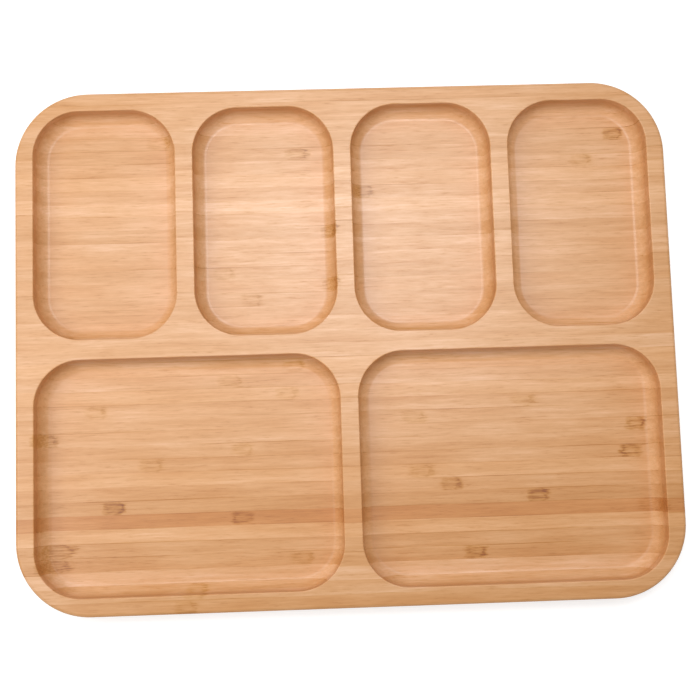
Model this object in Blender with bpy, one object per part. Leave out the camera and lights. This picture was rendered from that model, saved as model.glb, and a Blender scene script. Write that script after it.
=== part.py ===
"""Divided serving tray, milled from a panel of edge-glued bamboo strips.

Metres, +Z up. The strips run along X, and +Y points to the row of small wells.
The origin is at the middle of the underside.
"""

import math

import bmesh
import bpy

# Board
BOARD_LENGTH = 0.360
BOARD_THICKNESS = 0.020
OUTER_CORNER_RADIUS = 0.040
OUTER_EDGE_RADIUS = 0.002

# Wood left round and between the wells, measured at the top face
SIDE_RIM = 0.010
FRONT_RIM = 0.010
BACK_RIM = 0.010
MIDDLE_RAIL = 0.011
DIVIDER = 0.010

# Wells: their spans from front to back, their sections and their number in each row
LARGE_WELL_SPAN = 0.127
SMALL_WELL_SPAN = 0.127
FLOOR_THICKNESS = 0.008
WELL_CORNER_RADIUS = 0.025
COVE_RADIUS = 0.0055
WELL_EDGE_CHAMFER = 0.0006
LARGE_WELL_COUNT = 2
SMALL_WELL_COUNT = 4

# Strips, with the pitch that each row of them comes nearest to, and the glue between them
STRIP_PITCH = 0.0075
GLUE_LINE = 0.0003

# Steps in each quarter turn
OUTER_CORNER_STEPS = 12
OUTER_EDGE_STEPS = 3
WELL_CORNER_STEPS = 8
COVE_STEPS = 4

# Bamboo tones, and the strips that differ from the common one
COMMON_TONE = "bamboo_straw"
TONE_COLOURS = {
    "bamboo_straw": "E6B88B",
    "bamboo_pale": "F0CCA3",
    "bamboo_honey": "DDAB7B",
    "bamboo_dark_honey": "D09A66",
}
TONE_STRIPS = {
    "bamboo_pale": (
        "large_well_strip_05", "large_well_strip_09", "large_well_strip_15", "large_well_strip_17",
        "small_well_strip_10", "small_well_strip_12",
    ),
    "bamboo_honey": (
        "front_rim_strip",
        "large_well_strip_01", "large_well_strip_03", "large_well_strip_04", "large_well_strip_07",
        "small_well_strip_02", "small_well_strip_03", "small_well_strip_05",
        "small_well_strip_08", "small_well_strip_14", "small_well_strip_15",
    ),
    "bamboo_dark_honey": ("large_well_strip_06",),
}
BAMBOO_ROUGHNESS = 0.45

# Sizes that follow from those above
BOARD_WIDTH = FRONT_RIM + LARGE_WELL_SPAN + MIDDLE_RAIL + SMALL_WELL_SPAN + BACK_RIM
BOARD_LOW = (-BOARD_LENGTH / 2, -BOARD_WIDTH / 2)
BOARD_HIGH = (BOARD_LENGTH / 2, BOARD_WIDTH / 2)
LARGE_WELL_FRONT = BOARD_LOW[1] + FRONT_RIM
RAIL_MIDDLE = LARGE_WELL_FRONT + LARGE_WELL_SPAN + MIDDLE_RAIL / 2
SMALL_WELL_FRONT = RAIL_MIDDLE + MIDDLE_RAIL / 2


def clear_scene():
    """Remove every object that the scene starts with."""
    for item in list(bpy.data.objects):
        bpy.data.objects.remove(item, do_unlink=True)


def linear_colour(hex_colour):
    """Turn an sRGB hex colour into linear RGBA."""
    channels = [int(hex_colour[place:place + 2], 16) / 255 for place in (0, 2, 4)]
    linear = [c / 12.92 if c <= 0.04045 else ((c + 0.055) / 1.055) ** 2.4 for c in channels]
    return (*linear, 1.0)


def bamboo_material(tone):
    """Make the material of one bamboo tone."""
    material = bpy.data.materials.new(tone)
    material.use_nodes = True
    shader = material.node_tree.nodes["Principled BSDF"]
    shader.inputs["Base Color"].default_value = linear_colour(TONE_COLOURS[tone])
    shader.inputs["Roughness"].default_value = BAMBOO_ROUGHNESS
    shader.inputs["Metallic"].default_value = 0.0
    return material


def rounded_rectangle(low, high, radius, steps):
    """List the points of a rectangle with round corners, anticlockwise."""
    corners = (
        (high[0] - radius, high[1] - radius, 0),
        (low[0] + radius, high[1] - radius, 90),
        (low[0] + radius, low[1] + radius, 180),
        (high[0] - radius, low[1] + radius, 270),
    )
    points = []
    for centre_x, centre_y, start in corners:
        for step in range(steps + 1):
            angle = math.radians(start + 90 * step / steps)
            points.append((centre_x + radius * math.cos(angle), centre_y + radius * math.sin(angle)))
    return points


def quarter_round(radius, steps):
    """List (inset, rise) pairs that round a lower edge, from the base up to the side."""
    pairs = []
    for step in range(steps + 1):
        angle = math.radians(90 * step / steps)
        pairs.append((radius * (1 - math.sin(angle)), radius * (1 - math.cos(angle))))
    return pairs


def add_rounded_body(build, low, high, radius, steps, profile):
    """Add a closed body with round corners, inset as profile's (inset, height) pairs say."""
    rings = []
    for inset, height in profile:
        inner_low = (low[0] + inset, low[1] + inset)
        inner_high = (high[0] - inset, high[1] - inset)
        outline = rounded_rectangle(inner_low, inner_high, radius - inset, steps)
        rings.append([build.verts.new((x, y, height)) for x, y in outline])
    for lower, upper in zip(rings, rings[1:]):
        for index, corner in enumerate(lower):
            after = (index + 1) % len(lower)
            face = build.faces.new((corner, lower[after], upper[after], upper[index]))
            face.smooth = True
    build.faces.new(reversed(rings[0]))
    build.faces.new(rings[-1])


def object_from_bmesh(name, build):
    """Link a new object that holds the mesh of a bmesh."""
    mesh = bpy.data.meshes.new(name)
    build.to_mesh(mesh)
    build.free()
    item = bpy.data.objects.new(name, mesh)
    bpy.context.collection.objects.link(item)
    return item


def as_cutting_form(item):
    """Show an object as a guide only, because it shapes the strips and is not a piece."""
    item.hide_render = True
    item.display_type = "WIRE"
    return item


def outer_corner_radius():
    """Limit the outer corners so that half a rim of wood is left across each corner."""
    rim = min(SIDE_RIM, FRONT_RIM, BACK_RIM)
    diagonal = math.sqrt(2)
    cut_off = (rim + WELL_CORNER_RADIUS) * diagonal - WELL_CORNER_RADIUS - rim / 2
    return min(OUTER_CORNER_RADIUS, cut_off / (diagonal - 1))


def outline_form():
    """Make the tray's outer shape: round corners, and edges rounded above and below."""
    corner = outer_corner_radius()
    edge = quarter_round(min(OUTER_EDGE_RADIUS, corner, BOARD_THICKNESS / 2), OUTER_EDGE_STEPS)
    top_edge = [(inset, BOARD_THICKNESS - rise) for inset, rise in reversed(edge)]
    build = bmesh.new()
    add_rounded_body(build, BOARD_LOW, BOARD_HIGH, corner, OUTER_CORNER_STEPS, edge + top_edge)
    return as_cutting_form(object_from_bmesh("outline_form", build))


def well_rectangles(count, front, span):
    """List the corners, low and high, of a row of equal wells between the side rims."""
    width = (BOARD_LENGTH - 2 * SIDE_RIM - (count - 1) * DIVIDER) / count
    rectangles = []
    for index in range(count):
        left = BOARD_LOW[0] + SIDE_RIM + index * (width + DIVIDER)
        rectangles.append(((left, front), (left + width, front + span)))
    return rectangles


def well_form():
    """Make the six hollows: coved at the floor, upright above, chamfered at the top face."""
    depth = BOARD_THICKNESS - FLOOR_THICKNESS
    rectangles = well_rectangles(LARGE_WELL_COUNT, LARGE_WELL_FRONT, LARGE_WELL_SPAN)
    rectangles += well_rectangles(SMALL_WELL_COUNT, SMALL_WELL_FRONT, SMALL_WELL_SPAN)
    build = bmesh.new()
    for low, high in rectangles:
        corner = min(WELL_CORNER_RADIUS, (high[0] - low[0]) / 2, (high[1] - low[1]) / 2)
        cove = quarter_round(min(COVE_RADIUS, depth - 2 * WELL_EDGE_CHAMFER, corner), COVE_STEPS)
        profile = [(inset, FLOOR_THICKNESS + rise) for inset, rise in cove]
        profile.append((0, BOARD_THICKNESS - WELL_EDGE_CHAMFER))
        profile.append((-2 * WELL_EDGE_CHAMFER, BOARD_THICKNESS + WELL_EDGE_CHAMFER))
        add_rounded_body(build, low, high, corner, WELL_CORNER_STEPS, profile)
    return as_cutting_form(object_from_bmesh("well_form", build))


def strip_row(first_name, well_name, last_name, front, back):
    """List (name, front, back) for a row of equal strips, half a glue line short at each side."""
    count = round((back - front) / STRIP_PITCH)
    width = (back - front) / count
    names = [first_name]
    names += [f"{well_name}_{number:02d}" for number in range(1, count - 1)]
    names.append(last_name)
    spans = []
    for index, name in enumerate(names):
        strip_front = front + index * width
        spans.append((name, strip_front + GLUE_LINE / 2, strip_front + width - GLUE_LINE / 2))
    return spans


def strip_spans():
    """List (name, front, back) for every strip, the outermost two overhanging the outline."""
    spans = strip_row("front_rim_strip", "large_well_strip", "rail_front_strip", BOARD_LOW[1], RAIL_MIDDLE)
    spans += strip_row("rail_back_strip", "small_well_strip", "back_rim_strip", RAIL_MIDDLE, BOARD_HIGH[1])
    name, front, back = spans[0]
    spans[0] = (name, front - STRIP_PITCH, back)
    name, front, back = spans[-1]
    spans[-1] = (name, front, back + STRIP_PITCH)
    return spans


def add_boolean(item, operation, form):
    """Shape an object with a cutting form."""
    modifier = item.modifiers.new(form.name, "BOOLEAN")
    modifier.operation = operation
    modifier.object = form
    modifier.solver = "EXACT"


def tone_of_strip(name):
    """Name the tone of a strip."""
    for tone, names in TONE_STRIPS.items():
        if name in names:
            return tone
    return COMMON_TONE


def bamboo_strip(name, front, back, outline, wells):
    """Make one strip: an oversize blank, trimmed to the outline and milled by the wells."""
    build = bmesh.new()
    bmesh.ops.create_cube(build, size=1.0)
    blank = (BOARD_LENGTH + 2 * STRIP_PITCH, back - front, BOARD_THICKNESS + 2 * STRIP_PITCH)
    bmesh.ops.scale(build, vec=blank, verts=build.verts)
    strip = object_from_bmesh(name, build)
    strip.location = (0, (front + back) / 2, BOARD_THICKNESS / 2)
    add_boolean(strip, "INTERSECT", outline)
    add_boolean(strip, "DIFFERENCE", wells)
    return strip


def main():
    """Build the tray from its strips."""
    clear_scene()
    tray = bpy.data.objects.new("tray", None)
    bpy.context.collection.objects.link(tray)
    materials = {tone: bamboo_material(tone) for tone in TONE_COLOURS}
    outline = outline_form()
    wells = well_form()
    for form in (outline, wells):
        form.parent = tray
    for name, front, back in strip_spans():
        strip = bamboo_strip(name, front, back, outline, wells)
        strip.data.materials.append(materials[tone_of_strip(name)])
        strip.parent = tray


main()
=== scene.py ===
"""Looks of a divided serving tray, milled from a panel of edge-glued bamboo strips.

Metres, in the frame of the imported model: the strips run along X, and +Y points to the small wells.
"""

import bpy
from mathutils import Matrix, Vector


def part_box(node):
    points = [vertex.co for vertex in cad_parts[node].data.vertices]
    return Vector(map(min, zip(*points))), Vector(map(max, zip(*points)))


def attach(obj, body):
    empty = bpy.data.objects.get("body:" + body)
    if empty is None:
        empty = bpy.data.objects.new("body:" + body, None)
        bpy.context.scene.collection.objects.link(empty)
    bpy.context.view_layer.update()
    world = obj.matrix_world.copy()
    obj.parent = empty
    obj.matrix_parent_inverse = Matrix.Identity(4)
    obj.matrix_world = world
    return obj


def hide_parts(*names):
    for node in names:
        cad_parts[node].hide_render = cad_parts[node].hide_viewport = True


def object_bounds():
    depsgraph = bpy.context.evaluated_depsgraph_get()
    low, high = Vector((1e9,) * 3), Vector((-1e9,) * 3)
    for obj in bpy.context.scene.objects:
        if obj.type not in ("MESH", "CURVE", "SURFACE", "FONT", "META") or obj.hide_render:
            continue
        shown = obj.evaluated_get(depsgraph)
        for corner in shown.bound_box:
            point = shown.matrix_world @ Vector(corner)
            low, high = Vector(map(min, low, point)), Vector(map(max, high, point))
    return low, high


bl_info = {
    "name": "Divided Bamboo Tray",
    "version": (1, 0, 0),
    "blender": (4, 5, 0),
    "location": "View3D > Sidebar > Tray",
    "description": "Makes the strips of a milled bamboo tray and the stage that shows them",
    "category": "Object",
}

import math

import bmesh
import bpy
from bpy.props import FloatProperty, FloatVectorProperty, IntProperty, PointerProperty

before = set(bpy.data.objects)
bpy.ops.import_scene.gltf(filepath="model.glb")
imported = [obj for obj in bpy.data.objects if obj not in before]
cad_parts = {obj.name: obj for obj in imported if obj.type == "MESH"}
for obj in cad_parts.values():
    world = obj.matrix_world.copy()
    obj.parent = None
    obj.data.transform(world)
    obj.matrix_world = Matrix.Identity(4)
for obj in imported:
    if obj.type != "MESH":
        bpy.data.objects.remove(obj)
CAD_LOW, CAD_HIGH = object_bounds()
STRIPS = sorted(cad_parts, key=lambda node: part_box(node)[0].y)
STRIP_WIDTH = (CAD_HIGH.y - CAD_LOW.y) / len(STRIPS)
MILLIMETRES = 1000

# How far outside the tray the outer edges of the outermost strips lie
TRIMMED_OFF = 0.001

# Steps in each quarter turn of the milled shape
OUTER_CORNER_STEPS = 24
OUTER_EDGE_STEPS = 6
WELL_CORNER_STEPS = 20
WELL_EDGE_STEPS = 5
COVE_STEPS = 16

# Angle from which an edge is sharp, and angle up to which faces are one flat
SHARP_ANGLE = math.radians(35)
COPLANAR_ANGLE = math.radians(0.05)

# How far the background paper sweeps up beyond the floor, its steps up and round, and how near its
# points are joined
SWEEP_ANGLE = math.radians(50)
SWEEP_STEPS = 10
SWEEP_SEGMENTS = 64
SWEEP_WELD = 0.001

# Strips that differ from the common straw tone
COMMON_TONE = "bamboo_straw"
TONE_STRIPS = {
    "bamboo_pale": (
        "large_well_strip_05", "large_well_strip_09", "large_well_strip_15", "large_well_strip_17",
        "small_well_strip_10", "small_well_strip_12",
    ),
    "bamboo_honey": (
        "front_rim_strip",
        "large_well_strip_01", "large_well_strip_03", "large_well_strip_04", "large_well_strip_07",
        "small_well_strip_02", "small_well_strip_03", "small_well_strip_05",
        "small_well_strip_08", "small_well_strip_14", "small_well_strip_15",
    ),
    "bamboo_dark_honey": ("large_well_strip_06",),
}

# Strips that are paler or darker than their tone, by steps of density. Partly their own tone and
# partly painted light: small-well strips painted paler for the sheen there, the front rim painted
# darker for the light falling off to the front
STRIP_SHADES_WITH_PAINTED_LIGHT = {
    -0.10: ("large_well_strip_02",),
    -0.05: (
        "rail_front_strip", "small_well_strip_07", "small_well_strip_09", "small_well_strip_10",
        "small_well_strip_15", "small_well_strip_16",
    ),
    0.05: (
        "large_well_strip_04", "large_well_strip_11", "large_well_strip_14", "large_well_strip_15",
        "large_well_strip_17",
    ),
    0.10: (
        "large_well_strip_03", "large_well_strip_05", "large_well_strip_06", "large_well_strip_08",
        "large_well_strip_09", "large_well_strip_10",
    ),
    0.15: ("front_rim_strip", "large_well_strip_07"),
}

# Knuckles of the cane that the planing cut through: their places along the strip from the middle of
# the tray and their lengths, in millimetres, each with how dark it is. A negative length turns a
# knuckle end for end.
DARK_KNUCKLE = 1.10
BROWN_KNUCKLE = 0.75
FAINT_KNUCKLE = 0.34
KNUCKLE_SLOTS = 3
KNUCKLES = {
    "front_rim_strip": ((-90, 13, FAINT_KNUCKLE),),
    "large_well_strip_01": ((-85, 13, FAINT_KNUCKLE),),
    "large_well_strip_03": (
        (-161, 18, BROWN_KNUCKLE), (-28, 15, FAINT_KNUCKLE), (67, 13, DARK_KNUCKLE)),
    "large_well_strip_04": ((-160, 20, BROWN_KNUCKLE),),
    "large_well_strip_06": ((-60, -13, BROWN_KNUCKLE), (165, 15, FAINT_KNUCKLE)),
    "large_well_strip_07": ((-130, 13, DARK_KNUCKLE), (103, 13, DARK_KNUCKLE)),
    "large_well_strip_08": ((55, 13, BROWN_KNUCKLE),),
    "large_well_strip_09": ((39, 15, FAINT_KNUCKLE),),
    "large_well_strip_10": ((-109, 15, FAINT_KNUCKLE), (155, -13, DARK_KNUCKLE)),
    "large_well_strip_11": ((-59, 13, FAINT_KNUCKLE),),
    "large_well_strip_12": ((-166, 13, BROWN_KNUCKLE), (159, 12, DARK_KNUCKLE)),
    "large_well_strip_13": ((36, 15, FAINT_KNUCKLE),),
    "large_well_strip_14": ((-139, 13, FAINT_KNUCKLE), (97, 15, FAINT_KNUCKLE)),
    "large_well_strip_15": ((-34, 13, FAINT_KNUCKLE),),
    "large_well_strip_16": ((-65, 15, FAINT_KNUCKLE),),
    "large_well_strip_17": ((-30, 13, FAINT_KNUCKLE),),
    "small_well_strip_03": ((-52, 13, FAINT_KNUCKLE),),
    "small_well_strip_04": ((-8, 11, BROWN_KNUCKLE),),
    "small_well_strip_05": ((-68, 15, FAINT_KNUCKLE),),
    "small_well_strip_08": ((-8, 11, BROWN_KNUCKLE),),
    "small_well_strip_11": ((12, 13, BROWN_KNUCKLE),),
    "small_well_strip_13": ((136, 13, FAINT_KNUCKLE),),
    "small_well_strip_14": ((-25, 15, BROWN_KNUCKLE),),
    "small_well_strip_15": ((-102, 15, FAINT_KNUCKLE), (155, 12, DARK_KNUCKLE)),
}

# Shift from one strip's grain to the next one's, in millimetres, and what its noises have in common
GRAIN_SHIFT = 311
GRAIN_ROUGHNESS = 0.65
NOISE_MIDDLE = 0.5

# How strongly the figures of the grain show, in steps of density, and the noise at which single
# fibres turn dark
FIBRE_CONTRAST = 0.48
STREAK_CONTRAST = 0.46
DRIFT_CONTRAST = 0.36
BAND_CONTRAST = 0.44
DARK_FIBRE_DENSITY = 0.22
DARK_FIBRE_NOISE = (0.60, 0.74)

# How the sides and faces of a strip differ, in steps of density, the milled faces' step being
# painted light that pales them, how far end grain loses its fibres, and the upright part of the
# normal of a milled face and of a flat one
LEAN_DENSITY = 0.06
END_GRAIN_DENSITY = 0.14
MILLED_PAINTED_LIFT = -0.08
END_GRAIN_CALM = 0.65
MILLED_UPRIGHT = 0.93
FLAT_UPRIGHT = 0.9995

# Stain of a knuckle's eye, of the bow across one end and of the tails beside it, in steps of
# density, and the share of it that the eye's pale middle has
EYE_DENSITY = 0.56
BOW_DENSITY = 0.9
TAIL_DENSITY = 0.62
CORE_SHARE = 0.45

# Where each starts to fade and where it ends, in half knuckles, squared for the eye and its middle,
# with the places of the bow and the tails, and the bow's bend
EYE_FADE = (0.15, 1.30)
CORE_FADE = (0.02, 0.35)
BOW_FADE = (0.03, 0.30)
TAIL_FADE = (2.0, 7.0)
DARK_FIBRE_FADE = (0.6, 4.0)
BOW_PLACE = 0.68
BOW_BEND = 0.35
TAIL_PLACE = 2.5

# Ragged edges of the knuckles: ripples for each millimetre and how far they reach in half knuckles,
# and the fibres' noise with the shares of the stain that they take
RIPPLES_PER_MM = (0.25, 0.60, 0.60)
RIPPLE_REACH = (1.1, 0.8, 0.0)
RIPPLE_DETAIL = 3.0
HAIR_NOISE = (0.42, 0.60)
HAIR_SHARE = (0.38, 1.35)

# Stain along a glue line, in steps of density, and the noise of the streaks that it comes with
GLUE_DENSITY = 0.55
GLUE_NOISE = (0.54, 0.70)

# How far the fibres change the roughness, and their relief
ROUGHNESS_SPREAD = 0.10
RELIEF_STRENGTH = 0.3
RELIEF_HEIGHT = 0.00006

# The camera's sensor, in millimetres, and its nearest sight
SENSOR_WIDTH = 36
CLIP_START = 0.01


def linear(hex_colour):
    """Turn an sRGB hex colour into linear RGBA."""
    channels = [int(hex_colour[place:place + 2], 16) / 255 for place in (0, 2, 4)]
    return (*[c / 12.92 if c <= 0.04045 else ((c + 0.055) / 1.055) ** 2.4 for c in channels], 1.0)


class TrayShape(bpy.types.PropertyGroup):
    """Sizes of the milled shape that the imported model's box doesn't give."""

    side_rim: FloatProperty(
        name="Side rim", description="Wood between the outer wells and the tray's ends",
        default=0.010, min=0, unit="LENGTH")
    front_rim: FloatProperty(
        name="Front rim", description="Wood in front of the large wells",
        default=0.010, min=0, unit="LENGTH")
    back_rim: FloatProperty(
        name="Back rim", description="Wood behind the small wells",
        default=0.010, min=0, unit="LENGTH")
    middle_rail: FloatProperty(
        name="Middle rail", description="Wood between the two rows of wells",
        default=0.011, min=0, unit="LENGTH")
    divider: FloatProperty(
        name="Divider", description="Wood between two wells of a row",
        default=0.010, min=0, unit="LENGTH")
    large_wells: IntProperty(
        name="Large wells", description="Wells in the front row", default=2, min=1)
    small_wells: IntProperty(
        name="Small wells", description="Wells in the back row", default=4, min=1)
    floor_height: FloatProperty(
        name="Floor height", description="Height of the wells' floors above the underside",
        default=0.008, min=0, unit="LENGTH")
    outer_corner_radius: FloatProperty(
        name="Outer corner radius", description="Radius of the tray's four corners",
        default=0.040, min=0, unit="LENGTH")
    outer_edge_radius: FloatProperty(
        name="Outer edge radius", description="Rounding along the tray's top and bottom edges",
        default=0.002, min=0, unit="LENGTH")
    well_corner_radius: FloatProperty(
        name="Well corner radius", description="Radius of the wells' corners",
        default=0.025, min=0, unit="LENGTH")
    well_edge_radius: FloatProperty(
        name="Well edge radius", description="Sanded rounding where a well meets the top face",
        default=0.0006, min=0, unit="LENGTH")
    cove_radius: FloatProperty(
        name="Cove radius", description="Radius of the cutter that leaves the cove along a floor",
        default=0.0065, min=0, unit="LENGTH")


class BambooFinish(bpy.types.PropertyGroup):
    """Colours of the oiled bamboo and the real sizes of its figure."""

    bamboo_straw: FloatVectorProperty(
        name="Straw", description="Colour of most strips",
        default=linear("D69E69"), size=4, min=0, max=1, subtype="COLOR")
    bamboo_pale: FloatVectorProperty(
        name="Pale", description="Colour of the palest strips",
        default=linear("DCA571"), size=4, min=0, max=1, subtype="COLOR")
    bamboo_honey: FloatVectorProperty(
        name="Honey", description="Colour of the darker strips",
        default=linear("D29A64"), size=4, min=0, max=1, subtype="COLOR")
    bamboo_dark_honey: FloatVectorProperty(
        name="Dark honey", description="Colour of the darkest strip",
        default=linear("C9884B"), size=4, min=0, max=1, subtype="COLOR")
    roughness: FloatProperty(
        name="Roughness", description="Roughness of the oiled, sanded face",
        default=0.38, min=0, max=1, subtype="FACTOR")
    cove_roughness: FloatProperty(
        name="Cove roughness",
        description="Roughness of the milled walls and coves, which sanding reaches less",
        default=0.70, min=0, max=1, subtype="FACTOR")
    ior: FloatProperty(
        name="IOR", description="Refractive index of the oiled face, high for its sheen",
        default=1.7, min=1)
    fibre_width: FloatProperty(
        name="Fibre width", description="Width of a bundle of fibres",
        default=0.0007, min=0, unit="LENGTH")
    fibre_length: FloatProperty(
        name="Fibre length", description="Length along which a bundle keeps its tone",
        default=0.009, min=0, unit="LENGTH")
    streak_width: FloatProperty(
        name="Streak width", description="Width of the broader streaks in a strip",
        default=0.0022, min=0, unit="LENGTH")
    streak_length: FloatProperty(
        name="Streak length", description="Length of the broader streaks in a strip",
        default=0.065, min=0, unit="LENGTH")
    drift_width: FloatProperty(
        name="Drift width", description="Width of the slow drifts of tone in a strip",
        default=0.006, min=0, unit="LENGTH")
    drift_length: FloatProperty(
        name="Drift length", description="Length of the slow drifts of tone in a strip",
        default=0.048, min=0, unit="LENGTH")
    band_length: FloatProperty(
        name="Band length", description="Length along which a whole strip keeps its tone",
        default=0.060, min=0, unit="LENGTH")
    pigment: FloatVectorProperty(
        name="Pigment", description="What one step of density multiplies the wood's colour by",
        default=linear("CCA360"), size=4, min=0, max=1, subtype="COLOR")
    fibre_tone: FloatVectorProperty(
        name="Fibre tone",
        description="What one step of fibre multiplies it by, greyer than the pigment",
        default=linear("BE9D61"), size=4, min=0, max=1, subtype="COLOR")
    stain: FloatVectorProperty(
        name="Stain",
        description="What one step of stain multiplies it by, in knuckles and glue lines",
        default=linear("C3A045"), size=4, min=0, max=1, subtype="COLOR")
    glue_stain: FloatProperty(
        name="Glue stain", description="Width of the stain beside a glue line",
        default=0.00045, min=0, unit="LENGTH")


class TrayStage(bpy.types.PropertyGroup):
    """Floor, light and camera."""

    floor_radius: FloatProperty(
        name="Floor radius", description="How far the paper lies flat round the tray",
        default=4.0, min=0, unit="LENGTH")
    sweep_radius: FloatProperty(
        name="Sweep radius",
        description="Radius of the curve in which the paper rises beyond the floor",
        default=5.0, min=0, unit="LENGTH")
    floor_colour: FloatVectorProperty(
        name="Floor colour", description="Colour of the floor",
        default=linear("DCDCDC"), size=4, min=0, max=1, subtype="COLOR")
    floor_lift: FloatProperty(
        name="Floor lift",
        description="White added where the floor is seen, so that it is the background",
        default=0.55, min=0, max=1, subtype="FACTOR")
    room_light: FloatProperty(
        name="Room light", description="Strength of the light from all round",
        default=0.555, min=0)
    softbox_power: FloatProperty(
        name="Softbox power", description="Power of the overhead softbox",
        default=2.95, min=0, unit="POWER")
    softbox_size: FloatVectorProperty(
        name="Softbox size", description="Width and depth of the softbox",
        default=(0.45, 0.28), size=2, min=0, unit="LENGTH")
    softbox_place: FloatVectorProperty(
        name="Softbox place", description="Middle of the softbox",
        default=(0.03, 0.21, 0.80), size=3, subtype="TRANSLATION")
    window_power: FloatProperty(
        name="Window power", description="Power of the soft light high on the left",
        default=2.2, min=0, unit="POWER")
    window_size: FloatVectorProperty(
        name="Window size", description="Width and depth of the soft light on the left",
        default=(0.55, 0.48), size=2, min=0, unit="LENGTH")
    window_place: FloatVectorProperty(
        name="Window place", description="Middle of the soft light on the left",
        default=(-0.52, -0.02, 0.58), size=3, subtype="TRANSLATION")
    camera_place: FloatVectorProperty(
        name="Camera place", description="Where the camera stands above the tray",
        default=(-0.012703, -0.053482, 0.56414), size=3, subtype="TRANSLATION")
    camera_turn: FloatVectorProperty(
        name="Camera turn", description="How far the camera is turned from straight down",
        default=[math.radians(angle) for angle in (5.193067, -1.290352, -1.812681)],
        size=3, subtype="EULER")
    camera_lens: FloatProperty(
        name="Camera lens",
        description=f"Focal length in millimetres on a {SENSOR_WIDTH} mm sensor",
        default=51.651, min=1)


def add_node(tree, kind, inputs=None, output=None, **settings):
    """Add a node, fill its inputs with values or links, and return it or one of its outputs."""
    node = tree.nodes.new(kind)
    for name, value in settings.items():
        setattr(node, name, value)
    for key, value in (inputs or {}).items():
        if isinstance(value, bpy.types.NodeSocket):
            tree.links.new(value, node.inputs[key])
        else:
            node.inputs[key].default_value = value
    return node if output is None else node.outputs[output]


def grain_figures(tree, finish, place, strip, end_grain):
    """Add the figures of the grain: fibres, streaks, drifts in part of a strip and bands across it.

    Every strip has its own. A bundle of fibres is 0.3 mm wide in the cane, and is drawn wider so
    that it shows. In end grain the ends of bundles are too small to tell apart, so it is calmer.
    """
    own_grain = add_node(tree, "ShaderNodeVectorMath", {0: strip, 1: (0, 0, GRAIN_SHIFT)}, "Value",
                         operation="DOT_PRODUCT")
    shift = add_node(tree, "ShaderNodeCombineXYZ", {"X": own_grain}, "Vector")
    grain = add_node(tree, "ShaderNodeVectorMath", {0: place, 1: shift}, "Vector", operation="ADD")
    figures = []
    for width, length, detail in (
            (finish.fibre_width, finish.fibre_length, 3.0),
            (finish.streak_width, finish.streak_length, 2.0),
            (finish.drift_width, finish.drift_length, 1.0),
            (math.inf, finish.band_length, 1.0)):
        per_mm = [1 / (size * MILLIMETRES) for size in (length, width, width)]
        stretched = add_node(tree, "ShaderNodeVectorMath", {0: grain, 1: per_mm}, "Vector",
                             operation="MULTIPLY")
        figures.append(add_node(tree, "ShaderNodeTexNoise",
                                {"Vector": stretched, "Scale": 1.0, "Detail": detail,
                                 "Roughness": GRAIN_ROUGHNESS}, "Fac"))
    calm = add_node(tree, "ShaderNodeMath", {0: end_grain, 1: END_GRAIN_CALM}, "Value",
                    operation="MULTIPLY")
    figures[0] = add_node(tree, "ShaderNodeMix",
                          {"Factor": calm, "A": figures[0], "B": NOISE_MIDDLE}, "Result")
    return figures


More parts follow.
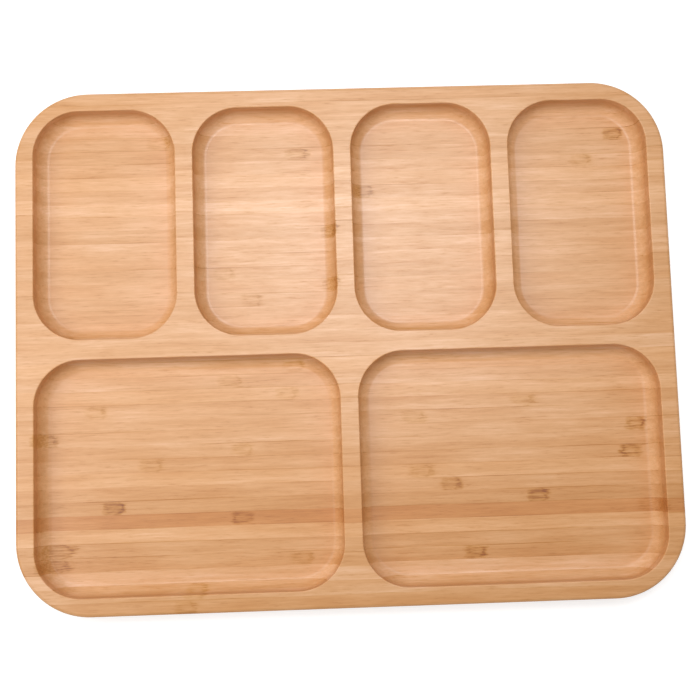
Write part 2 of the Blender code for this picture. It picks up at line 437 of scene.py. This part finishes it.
def knuckle(tree, number, length_axis, across, ripple, hairs, dark_fibres):
    """Add one knuckle of a strip, and give its mark and its tails along the glue line behind it.

    The mark is a squarish brown eye as wide as the strip, ragged, paler in its middle and streaked
    by the fibres, with a dark bow across one end.
    """
    mark = add_node(tree, "ShaderNodeAttribute", None, "Vector",
                    attribute_type="OBJECT", attribute_name=f"knuckle_{number}")
    facts = add_node(tree, "ShaderNodeSeparateXYZ", {0: mark})
    darkness = facts.outputs["Z"]
    along = add_node(tree, "ShaderNodeMath", {0: length_axis, 1: facts.outputs["X"]}, "Value",
                     operation="SUBTRACT")
    half = add_node(tree, "ShaderNodeMath", {0: facts.outputs["Y"], 1: 0.5}, "Value",
                    operation="MULTIPLY")
    along = add_node(tree, "ShaderNodeMath", {0: along, 1: half}, "Value", operation="DIVIDE")
    spot = add_node(tree, "ShaderNodeCombineXYZ", {"X": along, "Y": across}, "Vector")
    spot = add_node(tree, "ShaderNodeVectorMath", {0: ripple, 1: RIPPLE_REACH, 2: spot}, "Vector",
                    operation="MULTIPLY_ADD")
    squares = add_node(tree, "ShaderNodeVectorMath", {0: spot, 1: spot}, "Vector",
                       operation="MULTIPLY")
    reach = add_node(tree, "ShaderNodeVectorMath", {0: squares}, "Value", operation="LENGTH")

    # The eye
    eye = add_node(tree, "ShaderNodeMapRange",
                   {"Value": reach, "From Min": EYE_FADE[0], "From Max": EYE_FADE[1],
                    "To Min": EYE_DENSITY, "To Max": 0.0}, "Result",
                   interpolation_type="SMOOTHSTEP")
    core = add_node(tree, "ShaderNodeMapRange",
                    {"Value": reach, "From Min": CORE_FADE[0], "From Max": CORE_FADE[1],
                     "To Min": CORE_SHARE, "To Max": 1.0}, "Result")
    for factor in (core, hairs):
        eye = add_node(tree, "ShaderNodeMath", {0: eye, 1: factor}, "Value", operation="MULTIPLY")

    # The bow across one end of it
    bend = add_node(tree, "ShaderNodeVectorMath", {0: squares, 1: (0.0, BOW_BEND, 0.0)}, "Value",
                    operation="DOT_PRODUCT")
    bow = add_node(tree, "ShaderNodeVectorMath", {0: spot, 1: (1.0, 0.0, 0.0)}, "Value",
                   operation="DOT_PRODUCT")
    bow = add_node(tree, "ShaderNodeMath", {0: bow, 1: bend}, "Value", operation="ADD")
    bow = add_node(tree, "ShaderNodeMath", {0: bow, 1: BOW_PLACE}, "Value", operation="SUBTRACT")
    bow = add_node(tree, "ShaderNodeMath", {0: bow}, "Value", operation="ABSOLUTE")
    bow = add_node(tree, "ShaderNodeMapRange",
                   {"Value": bow, "From Min": BOW_FADE[0], "From Max": BOW_FADE[1],
                    "To Min": BOW_DENSITY, "To Max": 0.0}, "Result",
                   interpolation_type="SMOOTHSTEP")
    drawn = add_node(tree, "ShaderNodeMath", {0: bow, 1: eye, 2: eye}, "Value",
                     operation="MULTIPLY_ADD")

    # Dark fibres round it
    distance = add_node(tree, "ShaderNodeMath", {0: along}, "Value", operation="ABSOLUTE")
    near = add_node(tree, "ShaderNodeMapRange",
                    {"Value": distance, "From Min": DARK_FIBRE_FADE[0],
                     "From Max": DARK_FIBRE_FADE[1], "To Min": 1.0, "To Max": 0.0}, "Result",
                    interpolation_type="SMOOTHSTEP")
    drawn = add_node(tree, "ShaderNodeMath", {0: near, 1: dark_fibres, 2: drawn}, "Value",
                     operation="MULTIPLY_ADD")
    drawn = add_node(tree, "ShaderNodeMath", {0: drawn, 1: darkness}, "Value", operation="MULTIPLY")

    # The tails, which only the back edge of the strip has
    tail = add_node(tree, "ShaderNodeMath", {0: along, 1: TAIL_PLACE}, "Value",
                    operation="SUBTRACT")
    tail = add_node(tree, "ShaderNodeMath", {0: tail}, "Value", operation="ABSOLUTE")
    tail = add_node(tree, "ShaderNodeMapRange",
                    {"Value": tail, "From Min": TAIL_FADE[0], "From Max": TAIL_FADE[1],
                     "To Min": TAIL_DENSITY, "To Max": 0.0}, "Result",
                    interpolation_type="SMOOTHSTEP")
    back_half = add_node(tree, "ShaderNodeMath", {0: across, 1: 0.0}, "Value",
                         operation="GREATER_THAN")
    depth = add_node(tree, "ShaderNodeMath", {0: darkness}, "Value", operation="SQRT")
    for factor in (back_half, depth):
        tail = add_node(tree, "ShaderNodeMath", {0: tail, 1: factor}, "Value", operation="MULTIPLY")
    return drawn, tail


def glue_line(tree, finish, across, streak, tails):
    """Add a hair of stain at a strip's edges that comes and goes, and runs on from the knuckles."""
    nearness = add_node(tree, "ShaderNodeMath", {0: across}, "Value", operation="ABSOLUTE")
    line = add_node(tree, "ShaderNodeMapRange",
                    {"Value": nearness, "From Min": 1 - 2 * finish.glue_stain / STRIP_WIDTH,
                     "From Max": 1.0}, "Result", interpolation_type="SMOOTHSTEP")
    stretch = add_node(tree, "ShaderNodeMapRange",
                       {"Value": streak, "From Min": GLUE_NOISE[0], "From Max": GLUE_NOISE[1],
                        "To Min": 0.0, "To Max": GLUE_DENSITY}, "Result")
    for tail in tails:
        stretch = add_node(tree, "ShaderNodeMath", {0: stretch, 1: tail}, "Value", operation="ADD")
    return add_node(tree, "ShaderNodeMath", {0: line, 1: stretch}, "Value", operation="MULTIPLY")


def bamboo(finish, tone):
    """Make side-pressed bamboo, planed, milled, sanded and oiled.

    The eye gets long straight fibre streaks, a step of tone at each glue line, brown knuckle marks
    as wide as a strip, darker end grain, and a satin sheen from the oil. A tone varies as wood's
    own colour does, by density: denser wood is darker and more saturated, denser fibre is greyer
    and a stain is browner, so each density is a power of a colour. Some density is painted light:
    the milled faces are painted paler, and some strips paler or darker for the light on them.
    """
    material = bpy.data.materials.new(f"side_pressed_{tone}")
    material.use_nodes = True
    tree = material.node_tree
    tree.nodes.clear()

    # Place in millimetres, and what the strip itself says: its edges, its number and its shade,
    # which is partly painted light
    space = add_node(tree, "ShaderNodeTexCoord")
    place = add_node(tree, "ShaderNodeVectorMath",
                     {0: space.outputs["Object"], "Scale": MILLIMETRES}, "Vector",
                     operation="SCALE")
    axes = add_node(tree, "ShaderNodeSeparateXYZ", {0: place})
    strip = add_node(tree, "ShaderNodeAttribute", None, "Vector",
                     attribute_type="OBJECT", attribute_name="strip")
    edges = add_node(tree, "ShaderNodeSeparateXYZ", {0: strip})
    shade = add_node(tree, "ShaderNodeAttribute", None, "Fac",
                     attribute_type="OBJECT", attribute_name="shade")
    across = add_node(tree, "ShaderNodeMapRange",
                      {"Value": axes.outputs["Y"], "From Min": edges.outputs["X"],
                       "From Max": edges.outputs["Y"], "To Min": -1.0, "To Max": 1.0}, "Result")

    # Faces: end grain, and the coves and walls that were milled
    facing = add_node(tree, "ShaderNodeSeparateXYZ", {0: space.outputs["Normal"]})
    end_grain = add_node(tree, "ShaderNodeMath", {0: facing.outputs["X"]}, "Value",
                         operation="ABSOLUTE")
    milled = add_node(tree, "ShaderNodeMapRange",
                      {"Value": facing.outputs["Z"], "From Min": MILLED_UPRIGHT,
                       "From Max": FLAT_UPRIGHT, "To Min": 1.0, "To Max": 0.0}, "Result",
                      interpolation_type="SMOOTHSTEP")

    # The figures of the grain, with single dark fibres, sparse and short
    fibre, streak, drift, band = grain_figures(tree, finish, place, strip, end_grain)
    density = [shade]
    fibres = []
    for figure, contrast, parts in (
            (fibre, FIBRE_CONTRAST, fibres), (streak, STREAK_CONTRAST, fibres),
            (drift, DRIFT_CONTRAST, density), (band, BAND_CONTRAST, density)):
        parts.append(add_node(tree, "ShaderNodeMapRange",
                              {"Value": figure, "To Min": -contrast / 2, "To Max": contrast / 2},
                              "Result"))
    dark_fibres = add_node(tree, "ShaderNodeMapRange",
                           {"Value": fibre, "From Min": DARK_FIBRE_NOISE[0],
                            "From Max": DARK_FIBRE_NOISE[1], "To Min": 0.0,
                            "To Max": DARK_FIBRE_DENSITY}, "Result")
    fibres.append(dark_fibres)

    # A strip grades from its bark side to its pith side. End grain drinks more oil, so it is
    # darker. Milled coves and walls are painted paler and less saturated: painted light that lifts
    # the shade and the orange bounce light in the wells.
    lean = add_node(tree, "ShaderNodeTexWhiteNoise", {"W": edges.outputs["Z"]}, "Value",
                    noise_dimensions="1D")
    lean = add_node(tree, "ShaderNodeMapRange",
                    {"Value": lean, "To Min": -LEAN_DENSITY, "To Max": LEAN_DENSITY}, "Result")
    for part, amount in ((across, lean), (end_grain, END_GRAIN_DENSITY), (milled, MILLED_PAINTED_LIFT)):
        density.append(add_node(tree, "ShaderNodeMath", {0: part, 1: amount}, "Value",
                                operation="MULTIPLY"))

    # Knuckles and glue lines
    ripple = add_node(tree, "ShaderNodeVectorMath", {0: place, 1: RIPPLES_PER_MM}, "Vector",
                      operation="MULTIPLY")
    ripple = add_node(tree, "ShaderNodeTexNoise",
                      {"Vector": ripple, "Scale": 1.0, "Detail": RIPPLE_DETAIL}, "Color")
    ripple = add_node(tree, "ShaderNodeVectorMath", {0: ripple, 1: (NOISE_MIDDLE,) * 3}, "Vector",
                      operation="SUBTRACT")
    hairs = add_node(tree, "ShaderNodeMapRange",
                     {"Value": fibre, "From Min": HAIR_NOISE[0], "From Max": HAIR_NOISE[1],
                      "To Min": HAIR_SHARE[0], "To Max": HAIR_SHARE[1]}, "Result")
    marks = []
    tails = []
    for number in range(1, KNUCKLE_SLOTS + 1):
        drawn, tail = knuckle(tree, number, axes.outputs["X"], across, ripple, hairs, dark_fibres)
        marks.append(drawn)
        tails.append(tail)
    marks.append(glue_line(tree, finish, across, streak, tails))

    # The denser or the more stained the wood, the deeper its colour. The density also carries
    # painted
    # light: the paler milled faces and part of the strip shades.
    colour = getattr(finish, tone)
    for pigment, parts in (
            (finish.pigment, density), (finish.fibre_tone, fibres), (finish.stain, marks)):
        total = 0.0
        for part in parts:
            total = add_node(tree, "ShaderNodeMath", {0: total, 1: part}, "Value", operation="ADD")
        depth = add_node(tree, "ShaderNodeGamma", {"Color": pigment, "Gamma": total}, "Color")
        colour = add_node(tree, "ShaderNodeMix", {"Factor": 1.0, "A": colour, "B": depth}, "Result",
                          data_type="RGBA", blend_type="MULTIPLY")

    # The sheen breaks up along the fibres, and is duller on the milled faces
    sanded = add_node(tree, "ShaderNodeMapRange",
                      {"Value": milled, "To Min": finish.roughness,
                       "To Max": finish.cove_roughness}, "Result")
    grit = add_node(tree, "ShaderNodeMapRange",
                    {"Value": fibre, "To Min": -ROUGHNESS_SPREAD, "To Max": ROUGHNESS_SPREAD},
                    "Result")
    roughness = add_node(tree, "ShaderNodeMath", {0: sanded, 1: grit}, "Value", operation="ADD")
    relief = add_node(tree, "ShaderNodeBump",
                      {"Strength": RELIEF_STRENGTH, "Distance": RELIEF_HEIGHT, "Height": fibre},
                      "Normal")
    shader = add_node(tree, "ShaderNodeBsdfPrincipled",
                      {"Base Color": colour, "Roughness": roughness, "Normal": relief,
                       "IOR": finish.ior}, "BSDF")
    add_node(tree, "ShaderNodeOutputMaterial", {"Surface": shader})
    return material


def rounded_rectangle(low, high, inset, radius, steps):
    """List the points of an inset rectangle with round corners, anticlockwise."""
    left, right = low[0] + radius, high[0] - radius
    front, back = low[1] + radius, high[1] - radius
    centres = ((right, back), (left, back), (left, front), (right, front))
    points = []
    for turn, centre in enumerate(centres):
        for step in range(steps + 1):
            angle = math.radians(90 * (turn + step / steps))
            points.append((centre[0] + (radius - inset) * math.cos(angle),
                           centre[1] + (radius - inset) * math.sin(angle)))
    return points


def add_rings(build, low, high, radius, steps, profile):
    """Add a wall round a rectangle with round corners, a ring for each (inset, height) pair."""
    rings = []
    for inset, height in profile:
        outline = rounded_rectangle(low, high, inset, radius, steps)
        rings.append([build.verts.new((x, y, height)) for x, y in outline])
    for ring, following in zip(rings, rings[1:]):
        for index in range(len(ring)):
            build.faces.new((ring[index - 1], ring[index], following[index], following[index - 1]))
    return rings


def outer_profile(shape):
    """List (inset, height) pairs up the tray's side, with both its edges rounded."""
    radius = shape.outer_edge_radius
    lower = []
    for step in range(OUTER_EDGE_STEPS + 1):
        angle = math.radians(90 * step / OUTER_EDGE_STEPS)
        lower.append((radius * (1 - math.sin(angle)), radius * (1 - math.cos(angle))))
    upper = [(inset, CAD_HIGH.z - rise) for inset, rise in reversed(lower)]
    return [(inset, CAD_LOW.z + rise) for inset, rise in lower] + upper


def well_profile(shape):
    """List (inset, height) pairs down a well: sanded edge, wall and cove to the floor."""
    edge = shape.well_edge_radius
    cove = shape.cove_radius
    floor = CAD_LOW.z + shape.floor_height
    pairs = []
    for step in range(WELL_EDGE_STEPS + 1):
        angle = math.radians(90 * step / WELL_EDGE_STEPS)
        pairs.append((edge * (math.sin(angle) - 1), CAD_HIGH.z - edge * (1 - math.cos(angle))))
    for step in range(COVE_STEPS + 1):
        angle = math.radians(90 * step / COVE_STEPS)
        pairs.append((cove * (1 - math.cos(angle)), floor + cove * (1 - math.sin(angle))))
    return pairs


def well_rectangles(shape):
    """List the corners, low and high, of the wells, the front row first."""
    middle = (CAD_LOW.y + shape.front_rim + CAD_HIGH.y - shape.back_rim) / 2
    rows = (
        (shape.large_wells, CAD_LOW.y + shape.front_rim, middle - shape.middle_rail / 2),
        (shape.small_wells, middle + shape.middle_rail / 2, CAD_HIGH.y - shape.back_rim),
    )
    rectangles = []
    for count, front, back in rows:
        room = CAD_HIGH.x - CAD_LOW.x - 2 * shape.side_rim - (count - 1) * shape.divider
        width = room / count
        for index in range(count):
            left = CAD_LOW.x + shape.side_rim + index * (width + shape.divider)
            rectangles.append(((left, front), (left + width, back)))
    return rectangles


def milled_tray(shape):
    """Make the whole tray as one closed bmesh, before it is parted at the glue lines."""
    build = bmesh.new()
    outside = add_rings(build, CAD_LOW, CAD_HIGH, shape.outer_corner_radius, OUTER_CORNER_STEPS,
                        outer_profile(shape))
    build.faces.new(outside[0])
    rims = [outside[-1]]
    for low, high in well_rectangles(shape):
        well = add_rings(build, low, high, shape.well_corner_radius, WELL_CORNER_STEPS,
                         well_profile(shape))
        build.faces.new(well[-1])
        rims.append(well[0])
    loops = [build.edges.get((rim[index - 1], rim[index]))
             for rim in rims for index in range(len(rim))]
    bmesh.ops.triangle_fill(build, use_beauty=True, edges=loops, normal=(0, 0, 1))
    bmesh.ops.recalc_face_normals(build, faces=build.faces[:])
    return build


def strip_span(node):
    """Give the front and back of a strip, from the middle of one glue line to the next.

    The outermost strips were trimmed to the outline, so their outer edges lie outside the tray.
    """
    index = STRIPS.index(node)
    front, back = CAD_LOW.y - TRIMMED_OFF, CAD_HIGH.y + TRIMMED_OFF
    if index > 0:
        front = (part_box(STRIPS[index - 1])[1].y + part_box(node)[0].y) / 2
    if index < len(STRIPS) - 1:
        back = (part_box(node)[1].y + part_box(STRIPS[index + 1])[0].y) / 2
    return front, back


def strip_mesh(tray, node):
    """Cut one strip out of the milled tray and close its glued faces."""
    front, back = strip_span(node)
    build = tray.copy()
    for cut, away in ((front, -1), (back, 1)):
        if CAD_LOW.y < cut < CAD_HIGH.y:
            whole = build.verts[:] + build.edges[:] + build.faces[:]
            parted = bmesh.ops.bisect_plane(build, geom=whole, plane_co=(0, cut, 0),
                                            plane_no=(0, away, 0), clear_outer=True)
            rim = [part for part in parted["geom_cut"] if isinstance(part, bmesh.types.BMEdge)]
            bmesh.ops.edgeloop_fill(build, edges=rim)
    bmesh.ops.dissolve_limit(build, angle_limit=COPLANAR_ANGLE, verts=build.verts[:],
                             edges=build.edges[:])
    bmesh.ops.recalc_face_normals(build, faces=build.faces[:])
    for face in build.faces:
        face.smooth = True
    mesh = bpy.data.meshes.new(f"milled_{node}")
    build.to_mesh(mesh)
    build.free()
    mesh.set_sharp_from_angle(angle=SHARP_ANGLE)
    return mesh


def group_of(node, groups, otherwise):
    """Find the group that lists a strip."""
    for group, nodes in groups.items():
        if node in nodes:
            return group
    return otherwise


def add_strips(context, kind):
    """Add the strips of one kind in place of their CAD nodes."""
    shape = context.scene.tray_shape
    finish = context.scene.tray_finish
    nodes = [node for node in STRIPS if kind in node]
    if not nodes:
        raise RuntimeError(f"the packed model has no {kind} strips")
    tray = milled_tray(shape)
    for node in nodes:
        tone = group_of(node, TONE_STRIPS, COMMON_TONE)
        piece = bpy.data.objects.new(f"bamboo_{node}", strip_mesh(tray, node))
        context.scene.collection.objects.link(piece)
        flats = piece.modifiers.new("flat_faces_stay_flat", "WEIGHTED_NORMAL")
        flats.keep_sharp = True

        # What the material reads from a strip: its edges and number, its shade, partly painted
        # light, and its knuckles
        front, back = strip_span(node)
        piece["strip"] = (front * MILLIMETRES, back * MILLIMETRES, float(STRIPS.index(node) + 1))
        piece["shade"] = group_of(node, STRIP_SHADES_WITH_PAINTED_LIGHT, 0.0)
        for number, mark in enumerate(KNUCKLES.get(node, ()), 1):
            piece[f"knuckle_{number}"] = [float(fact) for fact in mark]

        material = bpy.data.materials.get(f"side_pressed_{tone}") or bamboo(finish, tone)
        piece.data.materials.append(material)
        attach(piece, "root")
        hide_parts(node)
    tray.free()


class TRAY_OT_rim_strips(bpy.types.Operator):
    """Make the front and the back rim strip"""

    bl_idname = "tray.rim_strips"
    bl_label = "Rim strips"

    def execute(self, context):
        add_strips(context, "rim_strip")
        return {"FINISHED"}


class TRAY_OT_large_well_strips(bpy.types.Operator):
    """Make the strips that the large wells are milled in"""

    bl_idname = "tray.large_well_strips"
    bl_label = "Large well strips"

    def execute(self, context):
        add_strips(context, "large_well_strip")
        return {"FINISHED"}


class TRAY_OT_rail_strips(bpy.types.Operator):
    """Make the two strips of the middle rail"""

    bl_idname = "tray.rail_strips"
    bl_label = "Rail strips"

    def execute(self, context):
        add_strips(context, "rail_")
        return {"FINISHED"}


class TRAY_OT_small_well_strips(bpy.types.Operator):
    """Make the strips that the small wells are milled in"""

    bl_idname = "tray.small_well_strips"
    bl_label = "Small well strips"

    def execute(self, context):
        add_strips(context, "small_well_strip")
        return {"FINISHED"}


def paper_floor(stage):
    """Make matt white background paper: no gloss, white where it is seen, and it keeps a shadow."""
    material = bpy.data.materials.new("white_background_paper")
    material.use_nodes = True
    tree = material.node_tree
    tree.nodes.clear()
    paper = add_node(tree, "ShaderNodeBsdfDiffuse", {"Color": stage.floor_colour}, "BSDF")
    ray = add_node(tree, "ShaderNodeLightPath")
    seen = ray.outputs["Is Camera Ray"]
    for kind in ("Is Glossy Ray", "Is Transmission Ray"):
        seen = add_node(tree, "ShaderNodeMath", {0: seen, 1: ray.outputs[kind]}, "Value",
                        operation="MAXIMUM")
    lift = add_node(tree, "ShaderNodeMath", {0: seen, 1: stage.floor_lift}, "Value",
                    operation="MULTIPLY")
    glow = add_node(tree, "ShaderNodeEmission", {"Strength": lift}, "Emission")
    both = add_node(tree, "ShaderNodeAddShader", {0: paper, 1: glow}, "Shader")
    add_node(tree, "ShaderNodeOutputMaterial", {"Surface": both})
    return material


def paper_sweep(stage):
    """Make one sheet of paper that lies under the tray and sweeps up behind it on every side."""
    profile = [(0, 0)]
    for step in range(SWEEP_STEPS + 1):
        angle = SWEEP_ANGLE * step / SWEEP_STEPS
        profile.append((stage.floor_radius + stage.sweep_radius * math.sin(angle),
                        stage.sweep_radius * (1 - math.cos(angle))))
    build = bmesh.new()
    line = [build.verts.new((reach, 0, CAD_LOW.z + rise)) for reach, rise in profile]
    line += [build.edges.new(ends) for ends in zip(line, line[1:])]
    bmesh.ops.spin(build, geom=line, axis=(0, 0, 1), angle=math.tau, steps=SWEEP_SEGMENTS,
                   use_merge=True)
    bmesh.ops.remove_doubles(build, verts=build.verts[:], dist=SWEEP_WELD)
    for face in build.faces:
        face.smooth = True
    mesh = bpy.data.meshes.new("background_paper")
    build.to_mesh(mesh)
    build.free()
    mesh.materials.append(paper_floor(stage))
    return mesh


class TRAY_OT_stage(bpy.types.Operator):
    """Make the floor, the light and the camera"""

    bl_idname = "tray.stage"
    bl_label = "Stage"

    def execute(self, context):
        scene = context.scene
        stage = scene.tray_stage
        floor = bpy.data.objects.new("background_paper", paper_sweep(stage))
        scene.collection.objects.link(floor)

        world = bpy.data.worlds.new("white_room")
        world.use_nodes = True
        tree = world.node_tree
        tree.nodes.clear()
        walls = add_node(tree, "ShaderNodeBackground", {"Strength": stage.room_light}, "Background")
        add_node(tree, "ShaderNodeOutputWorld", {"Surface": walls})
        scene.world = world

        lamps = (
            ("softbox", stage.softbox_power, stage.softbox_size, stage.softbox_place),
            ("window", stage.window_power, stage.window_size, stage.window_place),
        )
        for name, power, size, place in lamps:
            lamp = bpy.data.lights.new(name, "AREA")
            lamp.shape = "RECTANGLE"
            lamp.size, lamp.size_y = size
            lamp.energy = power
            light = bpy.data.objects.new(name, lamp)
            light.location = place
            light.rotation_euler = (-light.location).to_track_quat("-Z", "Y").to_euler()
            light.visible_camera = False
            scene.collection.objects.link(light)

        lens = bpy.data.cameras.new("camera")
        lens.lens = stage.camera_lens
        lens.sensor_width = SENSOR_WIDTH
        lens.clip_start = CLIP_START
        camera = bpy.data.objects.new("camera", lens)
        camera.location = stage.camera_place
        camera.rotation_euler = stage.camera_turn
        scene.collection.objects.link(camera)
        scene.camera = camera
        scene.view_settings.view_transform = "Standard"
        return {"FINISHED"}


class TRAY_PT_panel(bpy.types.Panel):
    """Sizes, colours and pieces of the tray"""

    bl_idname = "TRAY_PT_panel"
    bl_label = "Bamboo tray"
    bl_space_type = "VIEW_3D"
    bl_region_type = "UI"
    bl_category = "Tray"

    def draw(self, context):
        layout = self.layout
        for owner in GROUPS:
            settings = getattr(context.scene, owner)
            box = layout.box()
            for name in settings.bl_rna.properties.keys():
                if name not in ("rna_type", "name"):
                    box.prop(settings, name)
        for operator in OPERATORS:
            layout.operator(operator.bl_idname)


GROUPS = {"tray_shape": TrayShape, "tray_finish": BambooFinish, "tray_stage": TrayStage}
OPERATORS = (
    TRAY_OT_rim_strips,
    TRAY_OT_large_well_strips,
    TRAY_OT_rail_strips,
    TRAY_OT_small_well_strips,
    TRAY_OT_stage,
)
CLASSES = (*GROUPS.values(), *OPERATORS, TRAY_PT_panel)


def register():
    """Register the classes and put their settings on the scene."""
    for item in CLASSES:
        bpy.utils.register_class(item)
    for name, group in GROUPS.items():
        setattr(bpy.types.Scene, name, PointerProperty(type=group))


def unregister():
    """Take the settings off the scene and unregister the classes."""
    for name in GROUPS:
        delattr(bpy.types.Scene, name)
    for item in reversed(CLASSES):
        bpy.utils.unregister_class(item)


def main():
    """Make the tray and its stage."""
    register()
    bpy.ops.tray.rim_strips()
    bpy.ops.tray.large_well_strips()
    bpy.ops.tray.rail_strips()
    bpy.ops.tray.small_well_strips()
    bpy.ops.tray.stage()


if __name__ == "__main__":
    main()
